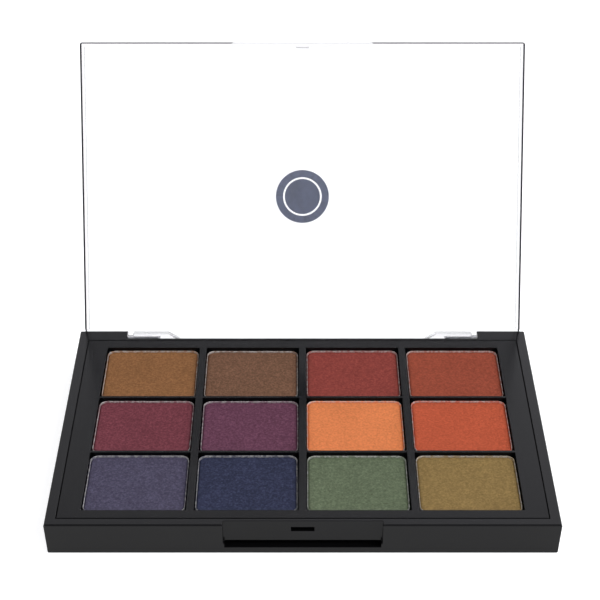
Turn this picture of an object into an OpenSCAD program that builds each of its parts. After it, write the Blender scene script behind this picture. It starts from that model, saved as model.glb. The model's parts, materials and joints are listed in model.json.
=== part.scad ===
// Eyeshadow palette: a moulded tray, a pan frame set into it, twelve pressed
// powders in metal pans, and a clear lid that is drawn open on its two pins.
// Millimetres. The origin is the centre of the underside, the front faces -Y
// and +Z is up. Row 1 of the pans is the back row and column 1 is the left one.

/* [Tray] */
// Width of the tray at its rim
tray_w = 150; // [146:1:156]
// Depth of the tray at its rim, front to back
tray_d = 101.5; // [101:0.5:106]
// Height of the tray
tray_h = 11; // [10.5:0.1:13]
// How far each side leans in from the rim to the underside
draft = 0.5; // [0:0.1:0.8]
// Width of the rim at the left and right
rim_side = 3.2; // [2.4:0.1:3.6]
// Width of the rim at the front
rim_front = 3.06; // [2.8:0.02:3.4]
// Thickness of the rim between the pan frame and the hinge notch
rim_back = 1.13; // [0.9:0.01:1.4]
// Thickness of the tray's floor
floor_t = 1.4; // [1:0.1:1.8]

/* [Hinge] */
// How far the lid is drawn open from closed
lid_open = 114; // [0:1:114]
// Height of the hinge axis below the rim
hinge_drop = 2; // [2:0.05:2.3]
// Distance of the hinge axis in from the back face
hinge_back = 2.3; // [2.25:0.01:2.3]
// Depth of the notch in the back of the tray
notch_d = 4.55; // [4.5:0.01:4.8]
// Width of the notch between the two corner blocks
notch_w = 117.8; // [114:0.2:119]
// Radius of the steel hinge pins
pin_r = 0.8; // [0.6:0.05:0.9]
// Radial clearance of a pin in its turning lug
pin_run = 0.05; // [0.03:0.01:0.1]

/* [Front latch] */
// Width of the recess that takes the lid's tab
recess_w = 46.5; // [40:0.5:60]
// Depth of that recess behind the front face
recess_d = 2; // [1.8:0.1:2.1]
// Height of the finger slot below the recess
finger_h = 1.3; // [1:0.1:1.4]
// Width of the snap slot in the recess
snap_w = 6.8; // [5:0.2:12]

/* [Pans] */
// Distance between pan centres, left to right
pitch_x = 33; // [32.8:0.1:33.6]
// Distance between pan centres, front to back
pitch_y = 28.45; // [28.35:0.05:28.6]
// Width of a pan
pan_w = 30.1; // [28:0.1:30.2]
// Depth of a pan, front to back
pan_d = 26.8; // [25:0.1:26.9]
// Height of a pan
pan_h = 3.25; // [2.5:0.05:3.5]
// Corner radius of a pan
pan_r = 2.5; // [1:0.1:4]
// Thickness of the pan's metal
pan_t = 0.3; // [0.2:0.05:0.5]
// How far a pan's edge lies below the top of the frame
pan_sink = 1; // [0.5:0.05:1.2]
// How far the powder lies below the pan's edge
powder_sink = 0.3; // [0.1:0.05:0.8]

/* [Lid] */
// Width of the lid
lid_w = 147.2; // [145:0.2:148]
// Thickness of the lid's panel and walls
lid_t = 1.5; // [1.2:0.1:1.6]
// Height of the lid's walls over the rim
lid_rise = 1.5; // [1.2:0.1:1.6]
// How far the front tab hangs below the rim
tab_drop = 7.2; // [6:0.1:7.2]
// Radius of the round printed emblem
emblem_r = 8.9; // [5:0.1:20]

/* [Hidden] */
$fn = 64;
COLS = 4;
ROWS = 3;
PAN_NODES = [for (r = [1:ROWS]) for (c = [1:COLS]) str("pan_r", r, "c", c)];
POWDER_NODES = [for (r = [1:ROWS]) for (c = [1:COLS]) str("powder_r", r, "c", c)];

BLACK = "#343436";
STEEL = "#b9bcc0";
TIN = "#c9c6bf";
CLEAR = [0.9, 0.92, 0.97, 0.3];
EMBLEM = "#6a7380";
PAPER = "#efeee9";
GLUE = "#e3dcc4";
SHADES = [
    ["#875c3d", "#6c4e3c", "#893f38", "#914936"],
    ["#6e3a43", "#654051", "#da804f", "#b6553a"],
    ["#4d4958", "#34384e", "#606a52", "#897348"]
];

eps = 0.01;
over = 1;

// Tray cavity and the pan frame that drops into it
seam = 0.25;
half_w = tray_w / 2;
half_d = tray_d / 2;
cavity_x = half_w - rim_side;
cavity_front = -half_d + rim_front;
notch_front = half_d - notch_d;
cavity_back = notch_front - rim_back;
frame_x = cavity_x - seam;
frame_front = cavity_front + seam;
frame_back = cavity_back - seam;
frame_top_t = 1.2;
frame_wall = 1;
frame_lift = 0.02;
catch_l = 8;
catch_h = 0.8;
catch_out = 0.4;
catch_z = 6;
catch_gap = 0.2;
catch_y = [-26, 0, 26];
catch_x = [-42, 42];

// Pockets for the pans
pocket_gap = 0.3;
pocket_w = pan_w + 2 * pocket_gap;
pocket_d = pan_d + 2 * pocket_gap;
pocket_front = -half_d + 6.95;
glue_t = 0.25;
glue_r = 9;
pan_top = tray_h - pan_sink;
pan_bottom = pan_top - pan_h;
pocket_floor = pan_bottom - glue_t;
pocket_floor_t = 1;
post_r = 2;
powder_gap = 0.02;

// Front latch
recess_floor = 3.7;
finger_z = recess_floor - finger_h;
finger_w = recess_w - 0.8;
finger_d = 4.8;
latch_box_w = recess_w + 2.4;
latch_box_d = finger_d + 1.2;
latch_box_h = recess_floor + 1.2;
snap_z = 7.9;
snap_h = 1.45;

// Hinge
hinge_y = half_d - hinge_back;
hinge_z = tray_h - hinge_drop;
notch_floor = hinge_z - 3.6;
pin_seat = 0.02;
pin_in = 48.2;
pin_out = half_w - 0.35;
pin_chamfer = 0.15;

// Lid, drawn closed with the hinge axis at the origin
lid_gap = 0.05;
lid_bottom = hinge_drop + lid_gap;
panel_z = hinge_drop + lid_rise;
lid_front = hinge_back - tray_d;
lid_corner = 0.8;
side_wall_back = -3;
tab_w = recess_w - 0.6;
bead_w = 4.2;
bead_r = 0.42;
lug_r = 2.1;
lug_out = 57;
lug_in = 45.2;
lug_foot = 40.4;
lug_boss_r = 1.5;
lug_boss_end = notch_w / 2 - 0.15;
lug_bore_in = 47.8;
back_wall_in = 0.6;
back_wall_low = -1.2;

// Emblem on the lid
emblem_t = 0.08;
emblem_back = 0.5;
emblem_band = 2.4;
emblem_line = 0.6;
emblem_ring = emblem_r - emblem_band;
emblem_core = emblem_ring - emblem_line;

// Label under the tray
label_w = 104;
label_d = 58;
label_t = 0.15;
label_recess = 0.3;
label_gap = 1;
label_r = 3;

function pan_x(c) = (c - (COLS + 1) / 2) * pitch_x;
function pan_y(r) = pocket_front + pocket_d / 2 + (ROWS - r) * pitch_y;

// A rectangle with round corners, centred on the origin
module round_rect(w, d, r) {
    square([w - 2 * r, d], center = true);
    square([w, d - 2 * r], center = true);
    for (x = [-1, 1])
        for (y = [-1, 1])
            translate([x * (w / 2 - r), y * (d / 2 - r)])
                circle(r);
}

// A box given by its lowest and highest corners
module span(low, high) {
    translate(low)
        cube(high - low);
}

// A cylinder along X from one x to another
module rod_x(x0, x1, r) {
    translate([x0, 0, 0])
        rotate([0, 90, 0])
            cylinder(h = x1 - x0, r = r);
}

// The tray's outside, leaning in towards the underside
module tray_outside() {
    intersection() {
        rotate([90, 0, 0])
            translate([0, 0, -half_d])
                linear_extrude(tray_d)
                    polygon([
                        [-half_w + draft, 0], [half_w - draft, 0],
                        [half_w, tray_h], [-half_w, tray_h]
                    ]);
        rotate([90, 0, 90])
            translate([0, 0, -half_w])
                linear_extrude(tray_w)
                    polygon([
                        [-half_d + draft, 0], [half_d - draft, 0],
                        [half_d, tray_h], [-half_d, tray_h]
                    ]);
    }
}

// The catches that hold the frame in the tray, grown all round by a gap
module catches(gap) {
    z0 = catch_z - catch_h / 2 - gap;
    z1 = catch_z + catch_h / 2 + gap;
    side = catch_l / 2 + gap;
    out_x = frame_x + catch_out + gap;
    out_y = catch_out + gap;
    for (y = catch_y)
        span([-out_x, y - side, z0], [out_x, y + side, z1]);
    for (x = catch_x)
        span([x - side, frame_front - out_y, z0], [x + side, frame_back + out_y, z1]);
}

// The cavity that takes the pan frame, with grooves for its catches
module tray_cavity() {
    span([-cavity_x, cavity_front, floor_t], [cavity_x, cavity_back, tray_h + over]);
    catches(catch_gap);
}

// The recess, snap slot and finger slot at the middle of the front
module front_latch_cuts() {
    span(
        [-recess_w / 2, -half_d - over, recess_floor],
        [recess_w / 2, -half_d + recess_d, tray_h + over]
    );
    span(
        [-finger_w / 2, -half_d - over, finger_z],
        [finger_w / 2, -half_d + finger_d, recess_floor + eps]
    );
    span(
        [-snap_w / 2, -half_d, snap_z - snap_h / 2],
        [snap_w / 2, cavity_front + over / 10, snap_z + snap_h / 2]
    );
}

// The notch for the lid's lugs and the two bores for the hinge pins
module hinge_cuts() {
    span(
        [-notch_w / 2, notch_front, notch_floor],
        [notch_w / 2, half_d + over, tray_h + over]
    );
    translate([0, hinge_y, hinge_z])
        rod_x(-half_w - over, half_w + over, pin_r + pin_seat);
}

module base_tray() {
    color(BLACK)
        difference() {
            union() {
                difference() {
                    tray_outside();
                    tray_cavity();
                }
                span(
                    [-latch_box_w / 2, -half_d + draft, floor_t - eps],
                    [latch_box_w / 2, -half_d + latch_box_d, latch_box_h]
                );
            }
            front_latch_cuts();
            hinge_cuts();
            translate([0, 0, -over])
                linear_extrude(over + label_recess)
                    round_rect(label_w + label_gap, label_d + label_gap, label_r);
        }
}

// The frame's skirt, plate, pocket block and posts before the pockets are cut
module frame_solid() {
    low = floor_t + frame_lift;
    block_x = (COLS - 1) * pitch_x / 2 + pocket_w / 2 + frame_wall;
    block_front = pan_y(ROWS) - pocket_d / 2 - frame_wall;
    block_back = pan_y(1) + pocket_d / 2 + frame_wall;
    block_low = pocket_floor - pocket_floor_t;
    difference() {
        span([-frame_x, frame_front, low], [frame_x, frame_back, tray_h]);
        span(
            [-frame_x + frame_wall, frame_front + frame_wall, low - over],
            [frame_x - frame_wall, frame_back - frame_wall, tray_h - frame_top_t]
        );
    }
    span([-block_x, block_front, block_low], [block_x, block_back, tray_h - eps]);
    for (x = [-pitch_x, 0, pitch_x])
        for (r = [1:ROWS - 1])
            translate([x, (pan_y(r) + pan_y(r + 1)) / 2, low])
                cylinder(h = block_low - low + eps, r = post_r);
    intersection() {
        catches(0);
        difference() {
            span([-tray_w, -tray_d, 0], [tray_w, tray_d, tray_h]);
            span(
                [-frame_x + eps, frame_front + eps, -over],
                [frame_x - eps, frame_back - eps, tray_h + over]
            );
        }
    }
}

module pan_frame() {
    color(BLACK)
        difference() {
            frame_solid();
            for (r = [1:ROWS])
                for (c = [1:COLS])
                    translate([pan_x(c), pan_y(r), pocket_floor])
                        translate([-pocket_w / 2, -pocket_d / 2, 0])
                            cube([pocket_w, pocket_d, tray_h]);
            span(
                [-latch_box_w / 2 - seam, frame_front - over, 0],
                [latch_box_w / 2 + seam, -half_d + latch_box_d + seam, latch_box_h + seam / 2]
            );
        }
}

module metal_pan(r, c) {
    color(TIN)
        translate([pan_x(c), pan_y(r), pan_bottom])
            difference() {
                linear_extrude(pan_h)
                    round_rect(pan_w, pan_d, pan_r);
                translate([0, 0, pan_t])
                    linear_extrude(pan_h)
                        round_rect(pan_w - 2 * pan_t, pan_d - 2 * pan_t, pan_r - pan_t);
            }
}

module powder(r, c) {
    inset = 2 * (pan_t + powder_gap);
    color(SHADES[r - 1][c - 1])
        translate([pan_x(c), pan_y(r), pan_bottom + pan_t])
            linear_extrude(pan_h - pan_t - powder_sink)
                round_rect(pan_w - inset, pan_d - inset, pan_r - pan_t);
}

// One round glue pad under each pan
module pan_adhesive() {
    color(GLUE)
        for (r = [1:ROWS])
            for (c = [1:COLS])
                translate([pan_x(c), pan_y(r), pocket_floor])
                    cylinder(h = glue_t, r = glue_r);
}

module base_label() {
    color(PAPER)
        translate([0, 0, label_recess - label_t])
            linear_extrude(label_t)
                round_rect(label_w, label_d, label_r);
}

// A steel pin from its seat in a corner block into the lid's lug
module hinge_pin() {
    color(STEEL)
        translate([0, hinge_y, hinge_z]) {
            rod_x(pin_in + pin_chamfer, pin_out - pin_chamfer, pin_r);
            for (end = [[pin_in, 1], [pin_out, -1]])
                translate([end[0], 0, 0])
                    rotate([0, 90 * end[1], 0])
                        cylinder(h = pin_chamfer, r1 = pin_r - pin_chamfer, r2 = pin_r);
        }
}

module right_hinge_pin() {
    hinge_pin();
}

module left_hinge_pin() {
    mirror([1, 0, 0])
        hinge_pin();
}

// Turns a shape drawn round the closed lid's hinge axis to where the lid is
module on_lid() {
    translate([0, hinge_y, hinge_z])
        rotate([-lid_open, 0, 0])
            children();
}

module lid_panel() {
    mid = (lid_front + hinge_back) / 2;
    translate([0, mid, panel_z])
        linear_extrude(lid_t)
            round_rect(lid_w, tray_d, lid_corner);
}

// The low walls that stand on the tray's rim at the front and the sides
module lid_walls() {
    for (x = [-lid_w / 2, lid_w / 2 - lid_t])
        span([x, lid_front + lid_corner, lid_bottom], [x + lid_t, side_wall_back, panel_z + eps]);
    span(
        [-lid_w / 2 + lid_corner, lid_front, lid_bottom],
        [lid_w / 2 - lid_corner, lid_front + lid_t, panel_z + eps]
    );
    for (x = [-1, 1])
        translate([x * (lid_w / 2 - lid_corner), lid_front + lid_corner, lid_bottom])
            cylinder(h = panel_z - lid_bottom + eps, r = lid_corner);
}

// The tab that drops into the front recess, with its snap bead
module lid_tab() {
    span(
        [-tab_w / 2, lid_front, hinge_drop - tab_drop],
        [tab_w / 2, lid_front + lid_t, panel_z + eps]
    );
    translate([0, lid_front + lid_t, snap_z - hinge_z])
        rod_x(-bead_w / 2, bead_w / 2, bead_r);
}

// A lug seen from above: its inner flank slants back to the lid's rear wall
module lug_plan() {
    polygon([
        [lug_foot, back_wall_in], [lug_in, -lug_r], [lug_out, -lug_r],
        [lug_out, lug_r], [lug_foot, lug_r]
    ]);
}

// The right-hand lug: a flat-sided block with its end round the hinge axis
module lid_lug() {
    intersection() {
        translate([0, 0, -lug_r])
            linear_extrude(lug_r + panel_z + eps)
                lug_plan();
        union() {
            rod_x(lug_foot, lug_out, lug_r);
            span([lug_foot, -lug_r, 0], [lug_out, lug_r, panel_z + eps]);
        }
    }
    rod_x(lug_out - eps, lug_boss_end, lug_boss_r);
}

module lid() {
    color(CLEAR)
        on_lid()
            difference() {
                union() {
                    lid_panel();
                    lid_walls();
                    lid_tab();
                    span(
                        [-lug_foot - eps, back_wall_in, back_wall_low],
                        [lug_foot + eps, lug_r, panel_z + eps]
                    );
                    lid_lug();
                    mirror([1, 0, 0])
                        lid_lug();
                }
                for (side = [0, 1])
                    mirror([side, 0, 0])
                        rod_x(lug_bore_in, lug_boss_end + over, pin_r + pin_run);
            }
}

// A round emblem: a plain disc inside a plain ring
module lid_emblem() {
    color(EMBLEM)
        on_lid()
            translate([0, (lid_front + hinge_back) / 2 + emblem_back, panel_z + lid_t])
                linear_extrude(emblem_t) {
                    circle(emblem_core);
                    difference() {
                        circle(emblem_r);
                        circle(emblem_ring);
                    }
                }
}

base_tray();
pan_frame();
pan_adhesive();
base_label();
lid();
lid_emblem();
left_hinge_pin();
right_hinge_pin();
for (r = [1:ROWS])
    for (c = [1:COLS]) {
        metal_pan(r, c);
        powder(r, c);
    }
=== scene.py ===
"""Eyeshadow palette with its clear lid drawn open, on a pale studio floor."""
import json
import math
import random

import bmesh
import bpy
from mathutils import Matrix, Vector, noise


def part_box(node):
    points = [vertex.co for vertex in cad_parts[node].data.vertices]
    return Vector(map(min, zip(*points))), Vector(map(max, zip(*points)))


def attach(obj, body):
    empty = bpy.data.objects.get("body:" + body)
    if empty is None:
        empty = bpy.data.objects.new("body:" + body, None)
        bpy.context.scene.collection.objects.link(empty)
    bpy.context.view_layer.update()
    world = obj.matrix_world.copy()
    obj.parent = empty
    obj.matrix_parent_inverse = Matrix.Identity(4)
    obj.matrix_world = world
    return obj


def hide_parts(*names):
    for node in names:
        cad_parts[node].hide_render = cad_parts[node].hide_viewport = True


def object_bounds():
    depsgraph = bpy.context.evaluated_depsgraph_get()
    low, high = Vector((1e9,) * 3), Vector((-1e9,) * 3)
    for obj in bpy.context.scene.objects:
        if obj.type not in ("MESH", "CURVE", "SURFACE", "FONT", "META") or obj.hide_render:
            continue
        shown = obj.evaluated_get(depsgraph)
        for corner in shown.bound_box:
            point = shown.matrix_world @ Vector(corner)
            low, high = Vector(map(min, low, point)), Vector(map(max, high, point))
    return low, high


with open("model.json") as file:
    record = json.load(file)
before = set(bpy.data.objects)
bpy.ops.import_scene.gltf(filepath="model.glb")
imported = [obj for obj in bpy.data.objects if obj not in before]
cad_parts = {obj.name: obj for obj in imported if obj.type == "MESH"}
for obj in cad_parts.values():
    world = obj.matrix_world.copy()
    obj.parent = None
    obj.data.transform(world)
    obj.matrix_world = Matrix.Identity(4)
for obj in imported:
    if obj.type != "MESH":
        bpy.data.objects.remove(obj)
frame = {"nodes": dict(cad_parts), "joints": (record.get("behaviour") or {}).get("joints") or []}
CAD_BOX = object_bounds()

MM = 0.001
ROWS = (1, 2, 3)
COLS = (1, 2, 3, 4)

# How far the lid turns from closed to where it is drawn
LID_OPEN = math.radians(frame["joints"][0]["range_deg"][1])

# Corner radius of a pan, and its metal, drawn a little thinner than in the CAD
PAN_R = 2.5 * MM
PAN_T = 0.24 * MM

# Edges that turn by more than SHARP are rounded, once points closer than WELD
# are joined and faces that differ by less than FLAT are one face
SHARP = math.radians(28)
WELD = 0.02 * MM
FLAT = math.radians(0.4)
ROUND_STEPS = 2
WIDE_STEPS = 5

# Two levels this close together are the same level
NEAR = 0.01 * MM

# Rounding of the lid's outer edges, and the width of the strip it takes up
LID_ROUND = 0.4 * MM
LID_STRIP = 0.42 * MM
# The lid's corners are rounded within this distance of its outside
LID_CORNER = 0.9 * MM
# Points less than this below the lid's outer face are on it
LID_FACE = 0.1 * MM
# The lid's walls end between these two depths below its outer face
LID_RIM = 2.5 * MM
LID_WALL = 3.2 * MM

BLACK = (0.0026, 0.0026, 0.0029)

# Linear colours of the pressed powders, by row from the back and by column
SHADES = {
    (1, 1): (0.22, 0.102, 0.042),
    (1, 2): (0.147, 0.076, 0.046),
    (1, 3): (0.22, 0.046, 0.037),
    (1, 4): (0.265, 0.060, 0.034),
    (2, 1): (0.147, 0.039, 0.051),
    (2, 2): (0.112, 0.042, 0.070),
    (2, 3): (0.64, 0.198, 0.072),
    (2, 4): (0.43, 0.085, 0.040),
    (3, 1): (0.064, 0.058, 0.093),
    (3, 2): (0.0275, 0.0315, 0.060),
    (3, 3): (0.104, 0.130, 0.079),
    (3, 4): (0.22, 0.147, 0.055),
}


# ---------------------------------------------------------------- materials

def new_material(name):
    """A material with its Principled shader and its object coordinates."""
    mat = bpy.data.materials.new(name)
    mat.use_nodes = True
    nodes = mat.node_tree.nodes
    place = nodes.new("ShaderNodeTexCoord")
    return mat, nodes["Principled BSDF"], place.outputs["Object"]


def add_noise(mat, place, scale, detail=2.0, rough=0.5, stretch=(1, 1, 1)):
    """A noise texture whose scale is in waves per metre."""
    tree = mat.node_tree
    mapping = tree.nodes.new("ShaderNodeMapping")
    mapping.inputs["Scale"].default_value = stretch
    tree.links.new(place, mapping.inputs["Vector"])
    tex = tree.nodes.new("ShaderNodeTexNoise")
    tex.inputs["Scale"].default_value = scale
    tex.inputs["Detail"].default_value = detail
    tex.inputs["Roughness"].default_value = rough
    tree.links.new(mapping.outputs["Vector"], tex.inputs["Vector"])
    return tex.outputs["Fac"]


def add_ramp(owner, fac, stops):
    """A colour ramp from (position, grey or colour) stops, in a material or a world."""
    ramp = owner.node_tree.nodes.new("ShaderNodeValToRGB")
    elements = ramp.color_ramp.elements
    while len(elements) < len(stops):
        elements.new(0.5)
    for element, (pos, value) in zip(elements, stops):
        element.position = pos
        rgb = value if hasattr(value, "__len__") else (value,) * 3
        element.color = (*rgb, 1.0)
    owner.node_tree.links.new(fac, ramp.inputs["Fac"])
    return ramp.outputs["Color"]


def add_mix(mat, fac, a, b, blend="MIX"):
    """Mixes two colours or sockets by a factor or socket."""
    tree = mat.node_tree
    mix = tree.nodes.new("ShaderNodeMix")
    mix.data_type = "RGBA"
    mix.blend_type = blend
    for socket, value in ((mix.inputs[0], fac), (mix.inputs[6], a), (mix.inputs[7], b)):
        if isinstance(value, bpy.types.NodeSocket):
            tree.links.new(value, socket)
        else:
            socket.default_value = (*value, 1.0) if hasattr(value, "__len__") else value
    return mix.outputs[2]


def add_bump(mat, shader, height, strength, distance):
    """Feeds a height into the shader's normal."""
    tree = mat.node_tree
    bump = tree.nodes.new("ShaderNodeBump")
    bump.inputs["Strength"].default_value = strength
    bump.inputs["Distance"].default_value = distance
    tree.links.new(height, bump.inputs["Height"])
    tree.links.new(bump.outputs["Normal"], shader.inputs["Normal"])


def scaled(colour, k):
    """A colour made lighter or darker, with no channel above 1."""
    return tuple(min(1.0, c * k) for c in colour)


def black_plastic(name, rough, spec):
    """Moulded black plastic: satin, with slight mottling, a fine grain and rub marks."""
    mat, shader, place = new_material(name)
    tree = mat.node_tree
    cloud = add_noise(mat, place, scale=60, detail=3)
    tint = add_ramp(mat, cloud, [(0.3, scaled(BLACK, 0.9)), (0.7, scaled(BLACK, 1.1))])
    tree.links.new(tint, shader.inputs["Base Color"])
    rub = add_noise(mat, place, scale=900, detail=4, rough=0.6, stretch=(1, 0.12, 1))
    gloss = add_ramp(mat, rub, [(0.35, rough * 0.92), (0.75, rough * 1.12)])
    tree.links.new(gloss, shader.inputs["Roughness"])
    shader.inputs["Specular IOR Level"].default_value = spec
    grain = add_noise(mat, place, scale=5200)
    add_bump(mat, shader, grain, strength=0.05, distance=0.01 * MM)
    return mat


def let_lamps_through(mat, shader):
    """Lets shadow rays pass almost freely, so that the clear plastic casts no dark shadow."""
    tree = mat.node_tree
    through = tree.nodes.new("ShaderNodeBsdfTransparent")
    through.inputs["Color"].default_value = (0.95, 0.95, 0.96, 1)
    path = tree.nodes.new("ShaderNodeLightPath")
    mix = tree.nodes.new("ShaderNodeMixShader")
    tree.links.new(path.outputs["Is Shadow Ray"], mix.inputs["Fac"])
    tree.links.new(shader.outputs["BSDF"], mix.inputs[1])
    tree.links.new(through.outputs["BSDF"], mix.inputs[2])
    tree.links.new(mix.outputs["Shader"], tree.nodes["Material Output"].inputs["Surface"])


def clear_plastic(name):
    """Water-clear polished plastic with a faint haze and ripple and a grey-violet depth."""
    mat, shader, place = new_material(name)
    tree = mat.node_tree
    shader.inputs["Base Color"].default_value = (0.80, 0.80, 0.805, 1)
    shader.inputs["Transmission Weight"].default_value = 1.0
    shader.inputs["IOR"].default_value = 1.5
    haze = add_noise(mat, place, scale=300, detail=3)
    gloss = add_ramp(mat, haze, [(0.4, 0.0), (0.8, 0.02)])
    tree.links.new(gloss, shader.inputs["Roughness"])
    ripple = add_noise(mat, place, scale=45, detail=1)
    add_bump(mat, shader, ripple, strength=0.05, distance=0.2 * MM)
    let_lamps_through(mat, shader)
    absorb = tree.nodes.new("ShaderNodeVolumeAbsorption")
    absorb.inputs["Color"].default_value = (0.20, 0.18, 0.24, 1)
    absorb.inputs["Density"].default_value = 15.0
    tree.links.new(absorb.outputs["Volume"], tree.nodes["Material Output"].inputs["Volume"])
    return mat


def painted_shade_edge_plastic(name):
    """The lid's thin edges, opaque and near-black: painted shade in place of the dark of the room
    that the clear plastic shows there.
    """
    mat, shader, place = new_material(name)
    tree = mat.node_tree
    cloud = add_noise(mat, place, scale=220, detail=3)
    # Painted shade: a dark opaque colour where the real edge is clear plastic
    tint = add_ramp(mat, cloud, [(0.3, (0.008, 0.007, 0.011)), (0.7, (0.028, 0.025, 0.038))])
    tree.links.new(tint, shader.inputs["Base Color"])
    gloss = add_ramp(mat, cloud, [(0.3, 0.4), (0.7, 0.6)])
    tree.links.new(gloss, shader.inputs["Roughness"])
    shader.inputs["Specular IOR Level"].default_value = 0.0
    return mat


def powder_material(name, shade):
    """Pressed matte powder: mottled pigment with a gritty grain, strongest in dark shades."""
    mat, shader, place = new_material(name)
    tree = mat.node_tree
    lightness = max(shade)
    cloud = add_noise(mat, place, scale=90, detail=4, rough=0.6)
    base = add_ramp(mat, cloud, [(0.25, scaled(shade, 0.94)), (0.75, scaled(shade, 1.06))])
    speck = add_noise(mat, place, scale=1700, detail=4, rough=0.7)
    sparkle = 1.2 + 0.04 / lightness
    fleck = add_ramp(mat, speck, [(0.34, 0.62), (0.5, 0.96), (0.66, sparkle)])
    grainy = add_mix(mat, 0.95 - 0.6 * lightness, base, fleck, "MULTIPLY")
    tree.links.new(grainy, shader.inputs["Base Color"])
    shader.inputs["Roughness"].default_value = 0.95
    shader.inputs["Specular IOR Level"].default_value = 0.08
    grit = add_noise(mat, place, scale=1900, detail=4, rough=0.75)
    add_bump(mat, shader, grit, strength=1.0, distance=0.24 * MM)
    return mat


def tin_material(name, shade):
    """Thin pressed metal, dusted with the powder that it holds."""
    mat, shader, place = new_material(name)
    tree = mat.node_tree
    bare, dusty = 0.38, 0.56
    dust = add_noise(mat, place, scale=700, detail=4, rough=0.65)
    cover = add_ramp(mat, dust, [(bare, 0.05), (dusty, 0.88)])
    colour = add_mix(mat, cover, (0.72, 0.71, 0.68), scaled(shade, 1.25))
    tree.links.new(colour, shader.inputs["Base Color"])
    metal = add_ramp(mat, dust, [(bare, 0.95), (dusty, 0.1)])
    tree.links.new(metal, shader.inputs["Metallic"])
    gloss = add_ramp(mat, dust, [(bare, 0.32), (dusty, 0.85)])
    tree.links.new(gloss, shader.inputs["Roughness"])
    lines = add_noise(mat, place, scale=2400, stretch=(1, 1, 0.1))
    add_bump(mat, shader, lines, strength=0.2, distance=0.02 * MM)
    return mat


def steel_material(name):
    """Drawn steel wire with fine lines along it."""
    mat, shader, place = new_material(name)
    tree = mat.node_tree
    lines = add_noise(mat, place, scale=6000, detail=3, rough=0.6, stretch=(0.04, 1, 1))
    tint = add_ramp(mat, lines, [(0.3, (0.46, 0.47, 0.49)), (0.7, (0.66, 0.67, 0.69))])
    tree.links.new(tint, shader.inputs["Base Color"])
    shader.inputs["Metallic"].default_value = 1.0
    gloss = add_ramp(mat, lines, [(0.3, 0.22), (0.7, 0.38)])
    tree.links.new(gloss, shader.inputs["Roughness"])
    add_bump(mat, shader, lines, strength=0.25, distance=0.01 * MM)
    return mat


def ink_material(name):
    """Opaque grey-blue printed ink with a slightly uneven film."""
    mat, shader, place = new_material(name)
    tree = mat.node_tree
    film = add_noise(mat, place, scale=800, detail=3)
    tint = add_ramp(mat, film, [(0.3, (0.130, 0.150, 0.220)), (0.7, (0.155, 0.180, 0.265))])
    tree.links.new(tint, shader.inputs["Base Color"])
    shader.inputs["Roughness"].default_value = 0.5
    add_bump(mat, shader, film, strength=0.15, distance=0.02 * MM)
    return mat


def paper_material(name):
    """Blank coated label paper with faint fibres."""
    mat, shader, place = new_material(name)
    tree = mat.node_tree
    fibre = add_noise(mat, place, scale=1500, detail=5, rough=0.7, stretch=(1, 0.3, 1))
    tint = add_ramp(mat, fibre, [(0.3, (0.78, 0.77, 0.73)), (0.7, (0.86, 0.85, 0.81))])
    tree.links.new(tint, shader.inputs["Base Color"])
    shader.inputs["Roughness"].default_value = 0.55
    add_bump(mat, shader, fibre, strength=0.2, distance=0.02 * MM)
    return mat


def glue_material(name):
    """Soft cream-coloured glue."""
    mat, shader, place = new_material(name)
    tree = mat.node_tree
    cloud = add_noise(mat, place, scale=400, detail=3)
    tint = add_ramp(mat, cloud, [(0.3, (0.66, 0.58, 0.40)), (0.7, (0.78, 0.70, 0.52))])
    tree.links.new(tint, shader.inputs["Base Color"])
    shader.inputs["Roughness"].default_value = 0.45
    add_bump(mat, shader, cloud, strength=0.3, distance=0.1 * MM)
    return mat


def floor_material(name):
    """Pale seamless studio paper, lit a little from within so that it stays white."""
    mat, shader, place = new_material(name)
    tree = mat.node_tree
    cloud = add_noise(mat, place, scale=12, detail=3)
    tint = add_ramp(mat, cloud, [(0.3, 0.71), (0.7, 0.73)])
    tree.links.new(tint, shader.inputs["Base Color"])
    shader.inputs["Roughness"].default_value = 0.9
    shader.inputs["Specular IOR Level"].default_value = 0.1
    shader.inputs["Emission Color"].default_value = (1, 1, 1, 1)
    shader.inputs["Emission Strength"].default_value = 0.65
    return mat


# ------------------------------------------------------------------- meshes

def finish_mesh(name, bm, mat, body, node):
    """Makes an object of a bmesh, with its material, that rides on a body for a CAD node."""
    mesh = bpy.data.meshes.new(name)
    bmesh.ops.recalc_face_normals(bm, faces=bm.faces)
    bm.to_mesh(mesh)
    bm.free()
    for face in mesh.polygons:
        face.use_smooth = True
    obj = bpy.data.objects.new(name, mesh)
    bpy.context.scene.collection.objects.link(obj)
    mesh.materials.append(mat)
    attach(obj, body)
    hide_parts(node)
    return obj


def is_sharp(edge):
    """Whether two faces meet at the edge and turn sharply there."""
    return len(edge.link_faces) == 2 and edge.calc_face_angle(0.0) > SHARP


def round_edges(bm, edges, width, steps):
    """Rounds edges to their full width, even where two roundings meet."""
    bmesh.ops.bevel(
        bm, geom=edges, offset=width, offset_type="OFFSET", segments=steps,
        profile=0.5, affect="EDGES", clamp_overlap=False,
    )


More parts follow.
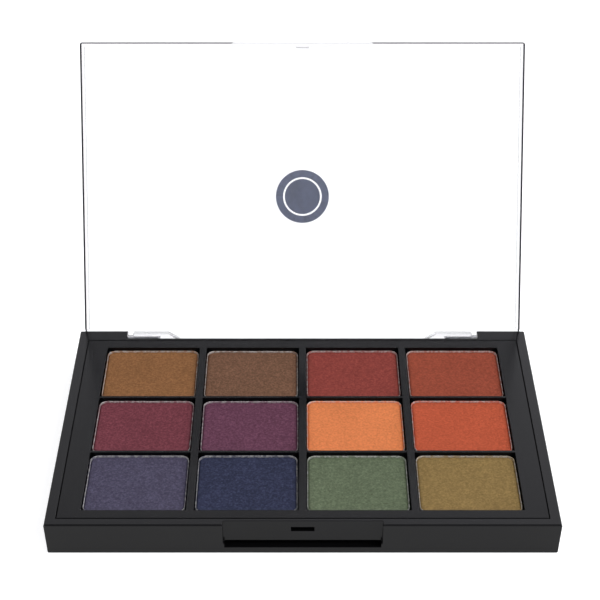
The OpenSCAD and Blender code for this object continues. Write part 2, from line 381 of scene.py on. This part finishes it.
def moulded(name, node, mat, body, width, edge=None, wide=None):
    """The CAD node's own shape with its sharp edges rounded, as a mould leaves it.

    wide is a larger width and a test for the edges that get it first. edge is a
    second material and a test for the faces that take it.
    """
    bm = bmesh.new()
    bm.from_mesh(frame["nodes"][node].data)
    bmesh.ops.remove_doubles(bm, verts=bm.verts, dist=WELD)
    bmesh.ops.dissolve_limit(
        bm, angle_limit=FLAT, use_dissolve_boundaries=False, verts=bm.verts, edges=bm.edges,
    )
    if wide:
        wide_width, is_wide = wide
        wide_edges = [e for e in bm.edges if is_sharp(e) and is_wide(e)]
        round_edges(bm, wide_edges, wide_width, WIDE_STEPS)
    round_edges(bm, [e for e in bm.edges if is_sharp(e)], width, ROUND_STEPS)
    if edge:
        edge_mat, is_edge = edge
        for face in bm.faces:
            face.material_index = 1 if is_edge(face) else 0
    obj = finish_mesh(name, bm, mat, body, node)
    if edge:
        obj.data.materials.append(edge_mat)
    weigh = obj.modifiers.new("even_shading", "WEIGHTED_NORMAL")
    weigh.keep_sharp = False
    weigh.weight = 80
    return obj


def dress_node(node, mat):
    """Gives a carried-over CAD node its material."""
    obj = frame["nodes"][node]
    obj.data.materials.clear()
    obj.data.materials.append(mat)


def arc_angles(degrees, steps):
    """Even angles from nought to an arc's full turn, in radians."""
    return [math.radians(degrees * k / steps) for k in range(steps + 1)]


def outline(width, depth, radius):
    """Points round a rectangle with round corners, centred on the origin."""
    steps = 8
    points = []
    corners = ((1, 1, 0), (-1, 1, 90), (-1, -1, 180), (1, -1, 270))
    for sx, sy, start in corners:
        cx = sx * (width / 2 - radius)
        cy = sy * (depth / 2 - radius)
        for k in range(steps + 1):
            a = math.radians(start + 90 * k / steps)
            points.append((cx + radius * math.cos(a), cy + radius * math.sin(a)))
    return points


def add_loop(bm, points, z):
    """New points of a mesh round an outline, all at one height."""
    return [bm.verts.new((x, y, z)) for x, y in points]


def bridge(bm, low, high):
    """Faces between two closed loops with the same number of points."""
    n = len(low)
    for k in range(n):
        bm.faces.new((low[k], low[(k + 1) % n], high[(k + 1) % n], high[k]))


def placed(node, rng, slack, most_turn):
    """Where a pan and its powder lie: the node's middle, shifted and turned a hair."""
    low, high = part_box(node)
    mid = (low + high) / 2
    shift = Vector((rng.uniform(-slack, slack), rng.uniform(-slack, slack), 0))
    turn = Matrix.Rotation(rng.uniform(-most_turn, most_turn), 4, "Z")
    return Matrix.Translation(Vector((mid.x, mid.y, low.z)) + shift) @ turn


def pan_profile(height):
    """A pan's wall as (inset, height): foot outside, rolled edge, foot inside."""
    half_t = PAN_T / 2
    foot = 0.5 * MM
    inner = foot - half_t
    profile = []
    for a in arc_angles(90, 4):
        profile.append((foot * (1 - math.sin(a)), foot * (1 - math.cos(a))))
    for a in arc_angles(180, 6):
        profile.append((half_t * (1 - math.cos(a)), height - half_t + half_t * math.sin(a)))
    for a in arc_angles(90, 4):
        profile.append((PAN_T + inner * (1 - math.cos(a)), PAN_T + inner * (1 - math.sin(a))))
    return profile


def pan_mesh(bm, width, depth, height):
    """A pressed pan: thin walls, a rolled edge and a rounded foot."""
    least_radius = 0.2 * MM
    loops = []
    for inset, z in pan_profile(height):
        radius = max(PAN_R - inset, least_radius)
        loops.append(add_loop(bm, outline(width - 2 * inset, depth - 2 * inset, radius), z))
    for low, high in zip(loops, loops[1:]):
        bridge(bm, low, high)
    bm.faces.new(list(reversed(loops[0])))
    bm.faces.new(loops[-1])


def corner_point(u, v, half_w, half_d, radius):
    """Maps a point of the square from -1 to 1 into a rectangle with round corners."""
    x, y = u * half_w, v * half_d
    dx = abs(x) - (half_w - radius)
    dy = abs(y) - (half_d - radius)
    if dx > 0 and dy > 0:
        k = max(dx, dy) / math.hypot(dx, dy)
        x = math.copysign(half_w - radius + dx * k, x)
        y = math.copysign(half_d - radius + dy * k, y)
    return x, y


def edge_distance(x, y, half_w, half_d, radius):
    """How far a point lies inside the outline."""
    dx = abs(x) - (half_w - radius)
    dy = abs(y) - (half_d - radius)
    if dx > 0 and dy > 0:
        return radius - math.hypot(dx, dy)
    return min(half_w - abs(x), half_d - abs(y))


def powder_height(x, y, rim, seed):
    """The pressed surface: faint hollows, a crumbled edge and a fine unevenness."""
    relief = 0.030 * MM
    lip_width = 0.45 * MM
    lip_drop = 0.30 * MM
    spot = Vector((x, y, seed))
    swell = relief * noise.noise(spot * 90)
    grain = relief * noise.noise(spot * 800)
    crumble = 0.5 + 0.5 * noise.noise(spot * 700)
    lip = lip_width * (0.6 + 0.8 * crumble)
    fall = max(0.0, 1 - rim / lip)
    return swell + grain - lip_drop * fall ** 2 * (0.6 + 0.6 * crumble)


def powder_mesh(bm, width, depth, height, seed):
    """A pressed cake: a dense uneven top, straight sides and a flat bottom."""
    step = 0.32 * MM
    half_w, half_d = width / 2, depth / 2
    radius = PAN_R - PAN_T
    nu = round(width / step)
    nv = round(depth / step)
    grid = []
    for j in range(nv + 1):
        row = []
        for i in range(nu + 1):
            x, y = corner_point(2 * i / nu - 1, 2 * j / nv - 1, half_w, half_d, radius)
            rim = edge_distance(x, y, half_w, half_d, radius)
            row.append(bm.verts.new((x, y, height + powder_height(x, y, rim, seed))))
        grid.append(row)
    for j in range(nv):
        for i in range(nu):
            bm.faces.new((grid[j][i], grid[j][i + 1], grid[j + 1][i + 1], grid[j + 1][i]))
    border = grid[0][:] + [r[-1] for r in grid[1:]]
    border += grid[-1][-2::-1] + [r[0] for r in grid[-2:0:-1]]
    foot = [bm.verts.new((v.co.x, v.co.y, 0)) for v in border]
    bridge(bm, foot, border)
    bm.faces.new(list(reversed(foot)))


# ------------------------------------------------------------------- pieces

def rim_edge_test():
    """A test for the edges round the outside of the tray's top and underside."""
    low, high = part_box("base_tray")
    # The sides lean in by less than this on the way down
    lean = MM

    def test(edge):
        a, b = (v.co for v in edge.verts)
        at_top = min(a.z, b.z) > high.z - NEAR
        side = high.x - min(abs(a.x), abs(b.x)) < NEAR
        front = max(a.y, b.y) < low.y + NEAR
        back = min(a.y, b.y) > high.y - NEAR
        at_foot = max(a.z, b.z) < low.z + NEAR
        outer = max(abs(a.x), abs(b.x)) > high.x - lean or max(abs(a.y), abs(b.y)) > high.y - lean
        return (at_top and (side or front or back)) or (at_foot and outer)

    return test


def make_tray():
    """The black base, with its outer rim rounded more than its other edges."""
    plastic = black_plastic("tray_plastic", rough=0.17, spec=0.20)
    wide = (0.45 * MM, rim_edge_test())
    moulded("tray_shell", "base_tray", plastic, "base", width=0.14 * MM, wide=wide)


def make_pan_frame():
    """The black insert that holds the pans."""
    plastic = black_plastic("frame_plastic", rough=0.20, spec=0.17)
    moulded("frame_insert", "pan_frame", plastic, "base", width=0.10 * MM)


def make_pan(spot, shade, place):
    """One metal pan, where it lies in its pocket."""
    node = "pan_" + spot
    low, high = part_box(node)
    size = high - low
    bm = bmesh.new()
    pan_mesh(bm, size.x, size.y, size.z)
    bm.transform(place)
    tin = tin_material("tin_" + spot, shade)
    finish_mesh("metal_pan_" + spot, bm, tin, "base", node)


def make_powder(spot, shade, place, seed):
    """The powder in one pan, shifted and turned with it."""
    node = "powder_" + spot
    low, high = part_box(node)
    size = high - low
    lift = low.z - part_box("pan_" + spot)[0].z
    bm = bmesh.new()
    powder_mesh(bm, size.x, size.y, size.z, seed)
    bm.transform(Matrix.Translation((0, 0, lift)))
    bm.transform(place)
    pigment = powder_material("powder_" + spot + "_pigment", shade)
    finish_mesh("pressed_" + spot, bm, pigment, "base", node)


def make_pans():
    """Each pan with its powder, laid a little loosely in its pocket."""
    rng = random.Random(12)
    for r in ROWS:
        for c in COLS:
            spot = f"r{r}c{c}"
            place = placed("pan_" + spot, rng, slack=0.12 * MM, most_turn=0.004)
            make_pan(spot, SHADES[r, c], place)
            make_powder(spot, SHADES[r, c], place, seed=10 * r + c)


def lid_directions():
    """Straight out of the lid's outer face, and along the lid from the hinge."""
    outward = Vector((0, math.sin(LID_OPEN), math.cos(LID_OPEN)))
    along = Vector((0, -math.cos(LID_OPEN), math.sin(LID_OPEN)))
    return outward, along


def lid_limits():
    """The lid's half width, and how far it reaches along itself and outward."""
    outward, along = lid_directions()
    verts = [v.co for v in frame["nodes"]["lid"].data.vertices]
    reach = max(along.dot(p) for p in verts)
    level = max(outward.dot(p) for p in verts)
    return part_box("lid")[1].x, reach, level


def lid_outline_test():
    """A test for the edges round the lid's outer face and outside along its walls' rims."""
    outward, along = lid_directions()
    side, reach, level = lid_limits()

    def test(edge):
        ends = [v.co for v in edge.verts]
        on_face = min(outward.dot(p) for p in ends) > level - LID_FACE
        on_rim = max(outward.dot(p) for p in ends) < level - LID_RIM
        at_side = min(abs(p.x) for p in ends) > side - LID_CORNER
        at_end = min(along.dot(p) for p in ends) > reach - LID_CORNER
        return on_face or (on_rim and (at_side or at_end))

    return test


def lid_edge_test():
    """A test for the roundings along the lid's sides and its free end, which take the painted dark
    edge material.
    """
    outward, along = lid_directions()
    side, reach, level = lid_limits()
    # How far the normal of an upright and of a flat face leans outward
    upright, flat = 0.1, 0.99

    def test(face):
        mid = face.calc_center_median()
        lean = face.normal.dot(outward)
        if not upright < abs(lean) < flat:
            return False
        at_side = side - abs(mid.x) < LID_STRIP
        on_wall = level - outward.dot(mid) < LID_WALL
        at_end = along.dot(mid) > reach - LID_STRIP and lean < 0 and on_wall
        return at_side or at_end

    return test


def make_lid():
    """The clear lid with its edges painted dark as painted shade, and the emblem printed on it."""
    clear = clear_plastic("lid_plastic")
    # The edge faces take an opaque dark material: painted shade, not the clear plastic's own
    # colour
    edge = (painted_shade_edge_plastic("lid_edge_painted_shade"), lid_edge_test())
    wide = (LID_ROUND, lid_outline_test())
    moulded("clear_lid", "lid", clear, "lid", width=0.03 * MM, edge=edge, wide=wide)
    dress_node("lid_emblem", ink_material("emblem_ink_film"))


def make_small_parts():
    """The hinge pins, the glue under the pans and the label under the tray."""
    steel = steel_material("pin_wire")
    dress_node("left_hinge_pin", steel)
    dress_node("right_hinge_pin", steel)
    dress_node("pan_adhesive", glue_material("glue_pads"))
    dress_node("base_label", paper_material("label_stock"))


# -------------------------------------------------------------------- stage

def make_floor():
    """A wide floor, a hair below the tray."""
    half_width = 20.0
    bm = bmesh.new()
    bmesh.ops.create_grid(bm, x_segments=8, y_segments=8, size=half_width)
    mesh = bpy.data.meshes.new("floor")
    bm.to_mesh(mesh)
    bm.free()
    mesh.materials.append(floor_material("studio_paper"))
    floor = bpy.data.objects.new("floor", mesh)
    floor.location = (0, 0, CAD_BOX[0].z - 0.02 * MM)
    bpy.context.scene.collection.objects.link(floor)


def add_softbox(name, place, size, power):
    """A square soft lamp that points at the middle of the tray's underside."""
    lamp = bpy.data.lights.new(name, "AREA")
    lamp.shape = "SQUARE"
    lamp.size = size
    lamp.energy = power
    obj = bpy.data.objects.new(name, lamp)
    obj.location = place
    obj.rotation_euler = (-Vector(place)).to_track_quat("-Z", "Y").to_euler()
    bpy.context.scene.collection.objects.link(obj)


def make_sky():
    """A room that is pale at the horizon, dark just above, bright halfway up and dark overhead."""
    world = bpy.data.worlds.new("studio")
    bpy.context.scene.world = world
    world.use_nodes = True
    tree = world.node_tree
    background = tree.nodes["Background"]
    place = tree.nodes.new("ShaderNodeTexCoord")
    split = tree.nodes.new("ShaderNodeSeparateXYZ")
    tree.links.new(place.outputs["Generated"], split.inputs["Vector"])
    greys = [
        (0.0, 0.90), (0.02, 0.90), (0.04, 0.08), (0.28, 0.30), (0.42, 0.95),
        (0.64, 1.0), (0.78, 0.30), (0.90, 0.03), (1.0, 0.02),
    ]
    stops = [(height, (grey, grey, grey * 1.06)) for height, grey in greys]
    tree.links.new(add_ramp(world, split.outputs["Z"], stops), background.inputs["Color"])
    brighter_right = 1.1
    middle = 1.3
    strength = tree.nodes.new("ShaderNodeMath")
    strength.operation = "MULTIPLY_ADD"
    strength.inputs[1].default_value = brighter_right
    strength.inputs[2].default_value = middle
    tree.links.new(split.outputs["X"], strength.inputs[0])
    tree.links.new(strength.outputs["Value"], background.inputs["Strength"])


def make_lights():
    """A large soft lamp above each side, the right one brighter and more to the front."""
    add_softbox("softbox_right", (0.75, -0.30, 1.0), size=0.7, power=8.6)
    add_softbox("softbox_left", (-0.85, -0.10, 1.0), size=0.8, power=5.0)
    bpy.context.scene.view_settings.view_transform = "Standard"


def make_camera():
    """A long lens in front of the tray, looking down on it."""
    left_of_middle = 0.8 * MM
    in_front = 384.7 * MM
    above_rim = 322.8 * MM
    degrees_down = 32.56
    low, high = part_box("base_tray")
    cam = bpy.data.cameras.new("camera")
    cam.sensor_width = 36
    cam.lens = 103.56
    obj = bpy.data.objects.new("camera", cam)
    obj.location = (-left_of_middle, low.y - in_front, high.z + above_rim)
    obj.rotation_euler = (math.radians(90 - degrees_down), 0, 0)
    bpy.context.scene.collection.objects.link(obj)
    bpy.context.scene.camera = obj


make_camera()
make_tray()
make_pan_frame()
make_pans()
make_lid()
make_small_parts()
make_floor()
make_sky()
make_lights()
